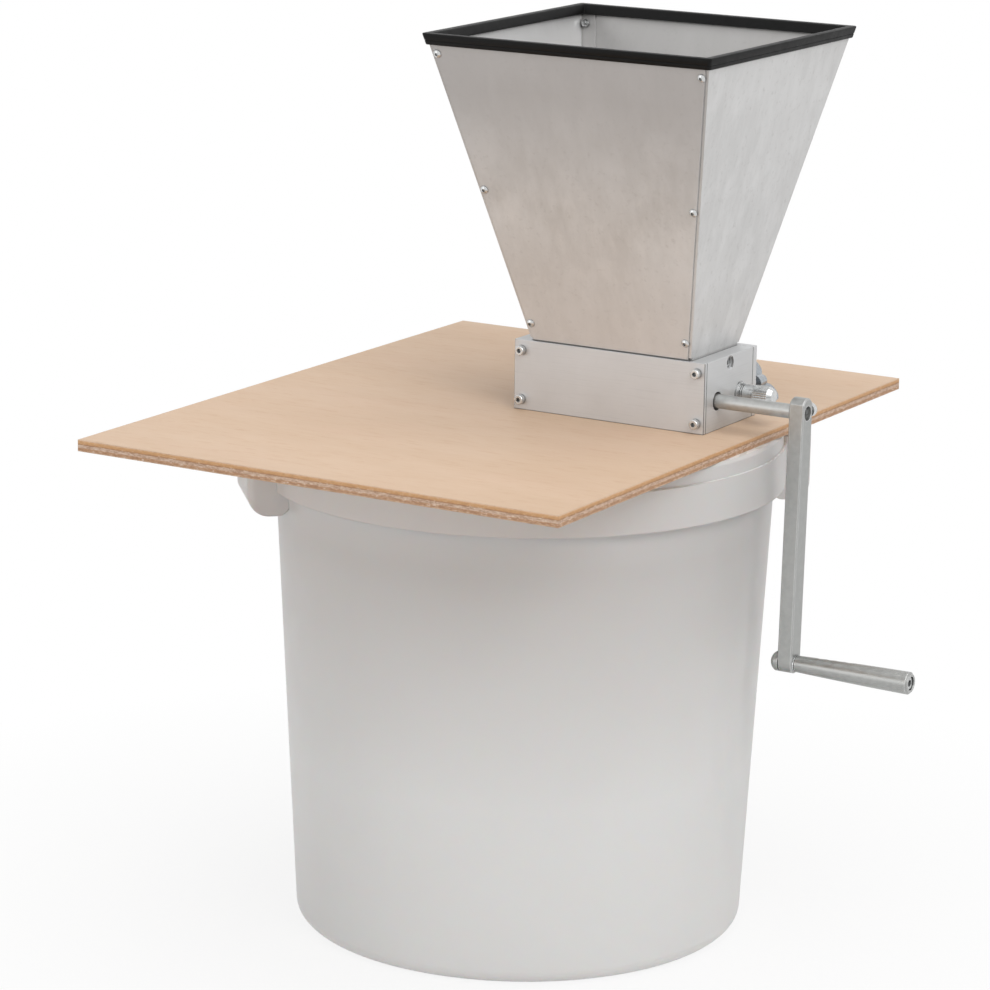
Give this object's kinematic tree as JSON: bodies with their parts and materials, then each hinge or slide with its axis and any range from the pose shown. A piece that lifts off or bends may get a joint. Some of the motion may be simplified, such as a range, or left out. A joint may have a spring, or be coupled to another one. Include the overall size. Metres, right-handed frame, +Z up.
{
  "type": "grain mill",
  "caption": "Hand-cranked roller grain mill with a square sheet-metal hopper, bolted to a plywood board that rests on a round plastic bucket.",
  "frame": {"origin": "on the floor, at the centre of the bucket's flat base", "axes": "+Z up, +X along the crank shaft towards the crank, the housing's front plate faces -Y"},
  "size_m": [0.5009, 0.5, 0.6409],
  "materials": {
    "bucket_plastic": "satin",
    "plywood": "matte",
    "hopper_sheet": "satin",
    "rim_rubber": "satin",
    "housing_metal": "brushed",
    "roller_steel": "satin",
    "crank_steel": "satin",
    "screw_steel": "bright",
    "bush_bronze": "satin"
  },
  "bodies": {
    "bucket": {"bucket": "bucket_plastic"},
    "mill": {"baseboard": "plywood", "baseboard_screws": "screw_steel", "left_end_block": "housing_metal", "right_end_block": "housing_metal", "front_plate": "housing_metal", "rear_plate": "housing_metal", "front_plate_screws": "screw_steel", "rear_plate_screws": "screw_steel", "drive_bushes": "bush_bronze", "hopper_front_panel": "hopper_sheet", "hopper_rear_panel": "hopper_sheet", "hopper_left_panel": "hopper_sheet", "hopper_right_panel": "hopper_sheet", "hopper_screws": "screw_steel", "hopper_nuts": "screw_steel", "hopper_rim_trim": "rim_rubber", "hopper_grub_screws": "screw_steel"},
    "crank": {"drive_roller": "roller_steel", "drive_shaft": "roller_steel", "crank_arm": "crank_steel", "crank_clamp_screw": "screw_steel", "handle_bolt": "screw_steel", "handle_washer": "screw_steel", "handle_dome_nut": "crank_steel"},
    "grip": {"handle_grip": "crank_steel"},
    "right_adjuster": {"right_gap_adjuster": "screw_steel"},
    "left_adjuster": {"left_gap_adjuster": "screw_steel"},
    "idler": {"idler_roller": "roller_steel", "idler_shaft": "roller_steel"},
    "right_wing": {"right_wing_screw": "screw_steel"},
    "left_wing": {"left_wing_screw": "screw_steel"}
  },
  "joints": [
    {"name": "board_lift", "type": "slide", "parent": "bucket", "child": "mill", "axis": [0, 0, 1], "range_m": [0, 0.15]},
    {"name": "crank_turn", "type": "hinge", "parent": "mill", "child": "crank", "pos_m": [0.069, 0.0134, 0.3926], "axis": [1, 0, 0], "continuous": true},
    {"name": "grip_spin", "type": "hinge", "parent": "crank", "child": "grip", "pos_m": [0.258, 0.00773, 0.21719], "axis": [1, 0, 0], "continuous": true},
    {"name": "right_gap_turn", "type": "hinge", "parent": "mill", "child": "right_adjuster", "pos_m": [0.1385, 0.0471, 0.3926], "axis": [1, 0, 0], "range_deg": [-115, 60]},
    {"name": "left_gap_turn", "type": "hinge", "parent": "mill", "child": "left_adjuster", "pos_m": [-0.0005, 0.0471, 0.3926], "axis": [1, 0, 0], "range_deg": [-115, 60]},
    {"name": "idler_spin", "type": "hinge", "parent": "right_adjuster", "child": "idler", "pos_m": [0.069, 0.04647, 0.39396], "axis": [1, 0, 0], "continuous": true},
    {"name": "right_wing_turn", "type": "hinge", "parent": "mill", "child": "right_wing", "pos_m": [0.1385, 0.0725, 0.3926], "axis": [0, 1, 0], "range_deg": [0, 450]},
    {"name": "left_wing_turn", "type": "hinge", "parent": "mill", "child": "left_wing", "pos_m": [-0.0005, 0.0725, 0.3926], "axis": [0, 1, 0], "range_deg": [0, 450]}
  ],
  "couplings": [
    {"joint": "left_gap_turn", "follows": "right_gap_turn", "ratio": 1}
  ]
}
